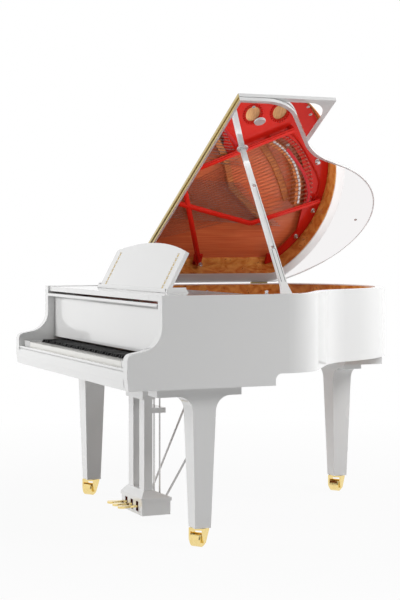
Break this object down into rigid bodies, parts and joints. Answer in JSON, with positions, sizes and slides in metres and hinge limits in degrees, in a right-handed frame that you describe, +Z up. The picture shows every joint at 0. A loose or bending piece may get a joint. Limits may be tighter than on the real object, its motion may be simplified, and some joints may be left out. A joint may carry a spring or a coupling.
{
  "type": "grand piano",
  "caption": "White grand piano on three castered legs, its lid propped open over a strung plate, with sprung keys, a folding music desk and a pedal lyre.",
  "frame": {"origin": "middle of the whole piano's box with the lid propped open, at floor level", "axes": "+X across the keyboard towards the treble, +Y from the key front towards the tail, +Z up"},
  "size_m": [1.5196, 1.626, 1.8031],
  "materials": {
    "white lacquer": "high-gloss white lacquer",
    "veneered inner rim": "polished burl veneer",
    "bare spruce": "satin",
    "bronzed plate": "red-bronze paint",
    "steel wire": "drawn wire",
    "copper wound wire": "wound copper",
    "red felt": "woven felt",
    "damper felt": "felt",
    "ivory key": "polished",
    "black key": "satin",
    "mirror panel": "mirror polish",
    "brass": "polished brass"
  },
  "bodies": {
    "case": {"outer_rim": "white lacquer", "inner_rim": "veneered inner rim", "tail_block": "white lacquer", "case_braces": "bare spruce", "key_bed": "white lacquer", "key_slip": "white lacquer", "end_blocks": "white lacquer", "rim_fittings": "brass", "pin_block": "bare spruce", "plate": "bronzed plate", "plate_struts": "bronzed plate", "soundboard": "bare spruce", "bridges": "bare spruce", "treble_strings": "steel wire", "bass_strings": "copper wound wire", "tuning_pins": "steel wire", "string_felts": "red felt", "leg_bass": "white lacquer", "leg_treble": "white lacquer", "leg_rear": "white lacquer", "lyre": "white lacquer", "lyre_stays": "brass"},
    "key_frame": {"key_frame": "bare spruce", "hammer_action": "bare spruce"},
    "dampers": {"dampers": "damper felt"},
    "fallboard": {"fallboard": "white lacquer"},
    "music_shelf": {"music_shelf": "white lacquer"},
    "music_desk": {"music_desk": "white lacquer"},
    "lid": {"lid": "white lacquer", "lid_mirror": "mirror panel", "lid_fittings": "brass"},
    "lid_flap": {"lid_flap": "white lacquer", "flap_mirror": "mirror panel", "flap_hinge_leaf": "brass"},
    "lid_prop": {"lid_prop": "white lacquer"},
    "short_prop": {"short_prop": "white lacquer"},
    "keys_c": {"keys_c": "ivory key"},
    "keys_c_sharp": {"keys_c_sharp": "black key"},
    "keys_d": {"keys_d": "ivory key"},
    "keys_d_sharp": {"keys_d_sharp": "black key"},
    "keys_e": {"keys_e": "ivory key"},
    "keys_f": {"keys_f": "ivory key"},
    "keys_f_sharp": {"keys_f_sharp": "black key"},
    "keys_g": {"keys_g": "ivory key"},
    "keys_g_sharp": {"keys_g_sharp": "black key"},
    "keys_a": {"keys_a": "ivory key"},
    "keys_a_sharp": {"keys_a_sharp": "black key"},
    "keys_b": {"keys_b": "ivory key"},
    "pedal_soft": {"pedal_soft": "brass"},
    "pedal_rod_soft": {"pedal_rod_soft": "brass"},
    "pedal_sostenuto": {"pedal_sostenuto": "brass"},
    "pedal_rod_sostenuto": {"pedal_rod_sostenuto": "brass"},
    "pedal_sustain": {"pedal_sustain": "brass"},
    "pedal_rod_sustain": {"pedal_rod_sustain": "brass"},
    "caster_bass": {"caster_fork_bass": "brass"},
    "wheel_bass": {"caster_wheel_bass": "brass"},
    "caster_treble": {"caster_fork_treble": "brass"},
    "wheel_treble": {"caster_wheel_treble": "brass"},
    "caster_rear": {"caster_fork_rear": "brass"},
    "wheel_rear": {"caster_wheel_rear": "brass"}
  },
  "joints": [
    {"name": "lid_hinge", "type": "hinge", "parent": "case", "child": "lid", "pos_m": [-0.74674, 0.087, 0.991], "axis": [0, -1, 0], "range_deg": [0, 25]},
    {"name": "flap_hinge", "type": "hinge", "parent": "lid", "child": "lid_flap", "pos_m": [-0.10852, -0.249, 1.3976], "axis": [0.8563, 0, 0.5165], "range_deg": [0, 180]},
    {"name": "prop_hinge", "type": "hinge", "parent": "case", "child": "lid_prop", "pos_m": [0.68476, -0.099, 0.972], "axis": [0, -1, 0], "range_deg": [0, 54.5]},
    {"name": "short_prop_hinge", "type": "hinge", "parent": "lid_prop", "child": "short_prop", "pos_m": [0.53863, -0.099, 1.18463], "axis": [0, 1, 0], "range_deg": [0, 35]},
    {"name": "shelf_slide", "type": "slide", "parent": "case", "child": "music_shelf", "axis": [0, 1, 0], "range_m": [0, 0.12]},
    {"name": "desk_hinge", "type": "hinge", "parent": "music_shelf", "child": "music_desk", "pos_m": [0.00976, -0.505, 0.9985], "axis": [-1, 0, 0], "range_deg": [0, 61]},
    {"name": "fallboard_hinge", "type": "hinge", "parent": "case", "child": "fallboard", "pos_m": [0.00976, -0.623, 0.775], "axis": [1, 0, 0], "range_deg": [0, 90]},
    {"name": "action_shift", "type": "slide", "parent": "case", "child": "key_frame", "axis": [1, 0, 0], "range_m": [0, 0.0025]},
    {"name": "key_c_hinge", "type": "hinge", "parent": "key_frame", "child": "keys_c", "pos_m": [0.00976, -0.548, 0.7017], "axis": [1, 0, 0], "range_deg": [0, 2.4], "stiffness_Nm_per_rad": 8, "springref_deg": -6.88},
    {"name": "key_c_sharp_hinge", "type": "hinge", "parent": "key_frame", "child": "keys_c_sharp", "pos_m": [0.00976, -0.548, 0.7017], "axis": [1, 0, 0], "range_deg": [0, 2.4], "stiffness_Nm_per_rad": 8, "springref_deg": -6.88},
    {"name": "key_d_hinge", "type": "hinge", "parent": "key_frame", "child": "keys_d", "pos_m": [0.00976, -0.548, 0.7017], "axis": [1, 0, 0], "range_deg": [0, 2.4], "stiffness_Nm_per_rad": 8, "springref_deg": -6.88},
    {"name": "key_d_sharp_hinge", "type": "hinge", "parent": "key_frame", "child": "keys_d_sharp", "pos_m": [0.00976, -0.548, 0.7017], "axis": [1, 0, 0], "range_deg": [0, 2.4], "stiffness_Nm_per_rad": 8, "springref_deg": -6.88},
    {"name": "key_e_hinge", "type": "hinge", "parent": "key_frame", "child": "keys_e", "pos_m": [0.00976, -0.548, 0.7017], "axis": [1, 0, 0], "range_deg": [0, 2.4], "stiffness_Nm_per_rad": 8, "springref_deg": -6.88},
    {"name": "key_f_hinge", "type": "hinge", "parent": "key_frame", "child": "keys_f", "pos_m": [0.00976, -0.548, 0.7017], "axis": [1, 0, 0], "range_deg": [0, 2.4], "stiffness_Nm_per_rad": 8, "springref_deg": -6.88},
    {"name": "key_f_sharp_hinge", "type": "hinge", "parent": "key_frame", "child": "keys_f_sharp", "pos_m": [0.00976, -0.548, 0.7017], "axis": [1, 0, 0], "range_deg": [0, 2.4], "stiffness_Nm_per_rad": 8, "springref_deg": -6.88},
    {"name": "key_g_hinge", "type": "hinge", "parent": "key_frame", "child": "keys_g", "pos_m": [0.00976, -0.548, 0.7017], "axis": [1, 0, 0], "range_deg": [0, 2.4], "stiffness_Nm_per_rad": 8, "springref_deg": -6.88},
    {"name": "key_g_sharp_hinge", "type": "hinge", "parent": "key_frame", "child": "keys_g_sharp", "pos_m": [0.00976, -0.548, 0.7017], "axis": [1, 0, 0], "range_deg": [0, 2.4], "stiffness_Nm_per_rad": 8, "springref_deg": -6.88},
    {"name": "key_a_hinge", "type": "hinge", "parent": "key_frame", "child": "keys_a", "pos_m": [0.00976, -0.548, 0.7017], "axis": [1, 0, 0], "range_deg": [0, 2.4], "stiffness_Nm_per_rad": 8, "springref_deg": -6.88},
    {"name": "key_a_sharp_hinge", "type": "hinge", "parent": "key_frame", "child": "keys_a_sharp", "pos_m": [0.00976, -0.548, 0.7017], "axis": [1, 0, 0], "range_deg": [0, 2.4], "stiffness_Nm_per_rad": 8, "springref_deg": -6.88},
    {"name": "key_b_hinge", "type": "hinge", "parent": "key_frame", "child": "keys_b", "pos_m": [0.00976, -0.548, 0.7017], "axis": [1, 0, 0], "range_deg": [0, 2.4], "stiffness_Nm_per_rad": 8, "springref_deg": -6.88},
    {"name": "damper_lift", "type": "slide", "parent": "case", "child": "dampers", "axis": [0, 0, 1], "range_m": [0, 0.004]},
    {"name": "pedal_soft_hinge", "type": "hinge", "parent": "case", "child": "pedal_soft", "pos_m": [-0.05624, -0.453, 0.064], "axis": [1, 0, 0], "range_deg": [0, 6], "stiffness_Nm_per_rad": 12, "springref_deg": -8.59},
    {"name": "rod_soft_slide", "type": "slide", "parent": "case", "child": "pedal_rod_soft", "axis": [0, 0, 1], "range_m": [0, 0.0055]},
    {"name": "pedal_sostenuto_hinge", "type": "hinge", "parent": "case", "child": "pedal_sostenuto", "pos_m": [0.00976, -0.453, 0.064], "axis": [1, 0, 0], "range_deg": [0, 6], "stiffness_Nm_per_rad": 12, "springref_deg": -8.59},
    {"name": "rod_sostenuto_slide", "type": "slide", "parent": "case", "child": "pedal_rod_sostenuto", "axis": [0, 0, 1], "range_m": [0, 0.0055]},
    {"name": "pedal_sustain_hinge", "type": "hinge", "parent": "case", "child": "pedal_sustain", "pos_m": [0.07576, -0.453, 0.064], "axis": [1, 0, 0], "range_deg": [0, 6], "stiffness_Nm_per_rad": 12, "springref_deg": -8.59},
    {"name": "rod_sustain_slide", "type": "slide", "parent": "case", "child": "pedal_rod_sustain", "axis": [0, 0, 1], "range_m": [0, 0.0055]},
    {"name": "swivel_bass", "type": "hinge", "parent": "case", "child": "caster_bass", "pos_m": [-0.64023, -0.472, 0.06], "axis": [0, 0, 1], "continuous": true},
    {"name": "wheel_bass_spin", "type": "hinge", "parent": "caster_bass", "child": "wheel_bass", "pos_m": [-0.63083, -0.48494, 0.028], "axis": [-0.809, -0.5878, 0], "continuous": true},
    {"name": "swivel_treble", "type": "hinge", "parent": "case", "child": "caster_treble", "pos_m": [0.65977, -0.472, 0.06], "axis": [0, 0, 1], "continuous": true},
    {"name": "wheel_treble_spin", "type": "hinge", "parent": "caster_treble", "child": "wheel_treble", "pos_m": [0.66917, -0.48494, 0.028], "axis": [-0.809, -0.5878, 0], "continuous": true},
    {"name": "swivel_rear", "type": "hinge", "parent": "case", "child": "caster_rear", "pos_m": [-0.28124, 0.654, 0.06], "axis": [0, 0, 1], "continuous": true},
    {"name": "wheel_rear_spin", "type": "hinge", "parent": "caster_rear", "child": "wheel_rear", "pos_m": [-0.27183, 0.64106, 0.028], "axis": [-0.809, -0.5878, 0], "continuous": true}
  ],
  "couplings": [
    {"joint": "action_shift", "follows": "pedal_soft_hinge", "m_per_rad": 0.0238},
    {"joint": "damper_lift", "follows": "pedal_sustain_hinge", "m_per_rad": 0.038},
    {"joint": "rod_soft_slide", "follows": "pedal_soft_hinge", "m_per_rad": 0.052},
    {"joint": "rod_sostenuto_slide", "follows": "pedal_sostenuto_hinge", "m_per_rad": 0.052},
    {"joint": "rod_sustain_slide", "follows": "pedal_sustain_hinge", "m_per_rad": 0.052}
  ]
}
